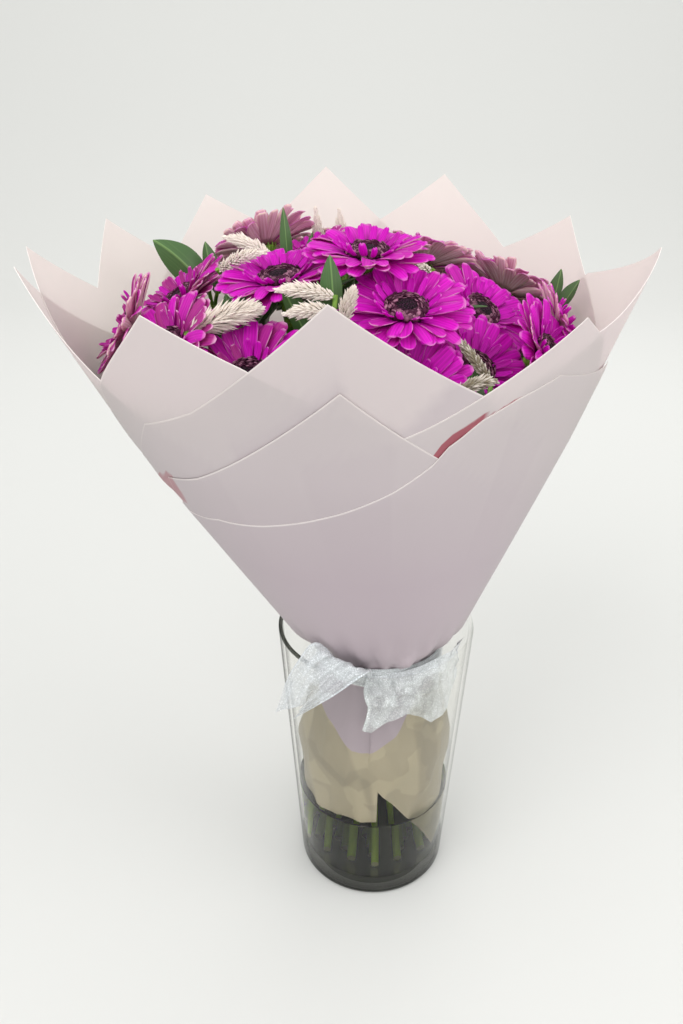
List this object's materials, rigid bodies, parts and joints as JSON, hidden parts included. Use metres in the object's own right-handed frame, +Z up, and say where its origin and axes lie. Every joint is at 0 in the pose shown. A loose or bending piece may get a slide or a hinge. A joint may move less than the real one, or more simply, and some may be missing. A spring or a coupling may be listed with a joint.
{
  "type": "wrapped bouquet of gerberas in a glass vase",
  "caption": "Ribbon-tied bouquet of gerberas, feathery celosia and leaves in sheets of flower wrap, standing in a tapered clear glass vase of water.",
  "frame": {"origin": "middle of the flat face that the vase stands on", "axes": "+Z up out of the vase, -Y the front that the ribbon's tails hang over, +X to the right of that front"},
  "size_m": [0.3922, 0.3716, 0.5366],
  "materials": {
    "vase_glass": "polished",
    "water": "gloss",
    "stem_green": "satin",
    "flower_wrap": "satin",
    "ribbon_organza": "satin",
    "gerbera_petal": "matte",
    "gerbera_disc": "matte",
    "celosia_cream": "matte",
    "leaf_green": "satin"
  },
  "bodies": {
    "root": {"celosia_01": "celosia_cream", "celosia_02": "celosia_cream", "celosia_03": "celosia_cream", "celosia_04": "celosia_cream", "celosia_05": "celosia_cream", "celosia_06": "celosia_cream", "gerbera_01_disc": "gerbera_disc", "gerbera_01_petals": "gerbera_petal", "gerbera_02_disc": "gerbera_disc", "gerbera_02_petals": "gerbera_petal", "gerbera_03_disc": "gerbera_disc", "gerbera_03_petals": "gerbera_petal", "gerbera_04_disc": "gerbera_disc", "gerbera_04_petals": "gerbera_petal", "gerbera_05_disc": "gerbera_disc", "gerbera_05_petals": "gerbera_petal", "gerbera_06_disc": "gerbera_disc", "gerbera_06_petals": "gerbera_petal", "gerbera_07_disc": "gerbera_disc", "gerbera_07_petals": "gerbera_petal", "gerbera_08_disc": "gerbera_disc", "gerbera_08_petals": "gerbera_petal", "gerbera_09_disc": "gerbera_disc", "gerbera_09_petals": "gerbera_petal", "gerbera_10_disc": "gerbera_disc", "gerbera_10_petals": "gerbera_petal", "gerbera_11_disc": "gerbera_disc", "gerbera_11_petals": "gerbera_petal", "gerbera_12_disc": "gerbera_disc", "gerbera_12_petals": "gerbera_petal", "gerbera_13_disc": "gerbera_disc", "gerbera_13_petals": "gerbera_petal", "gerbera_14_disc": "gerbera_disc", "gerbera_14_petals": "gerbera_petal", "gerbera_15_disc": "gerbera_disc", "gerbera_15_petals": "gerbera_petal", "gerbera_16_disc": "gerbera_disc", "gerbera_16_petals": "gerbera_petal", "gerbera_17_disc": "gerbera_disc", "gerbera_17_petals": "gerbera_petal", "gerbera_18_disc": "gerbera_disc", "gerbera_18_petals": "gerbera_petal", "leaf_spray_01": "leaf_green", "leaf_spray_02": "leaf_green", "leaf_spray_03": "leaf_green", "leaf_spray_04": "leaf_green", "ribbon": "ribbon_organza", "stems": "stem_green", "vase": "vase_glass", "water": "water", "wrap_back": "flower_wrap", "wrap_back_left": "flower_wrap", "wrap_back_right": "flower_wrap", "wrap_front": "flower_wrap", "wrap_front_left": "flower_wrap", "wrap_front_right": "flower_wrap", "wrap_left": "flower_wrap", "wrap_outer_front": "flower_wrap", "wrap_outer_right": "flower_wrap", "wrap_right": "flower_wrap"}
  },
  "joints": []
}
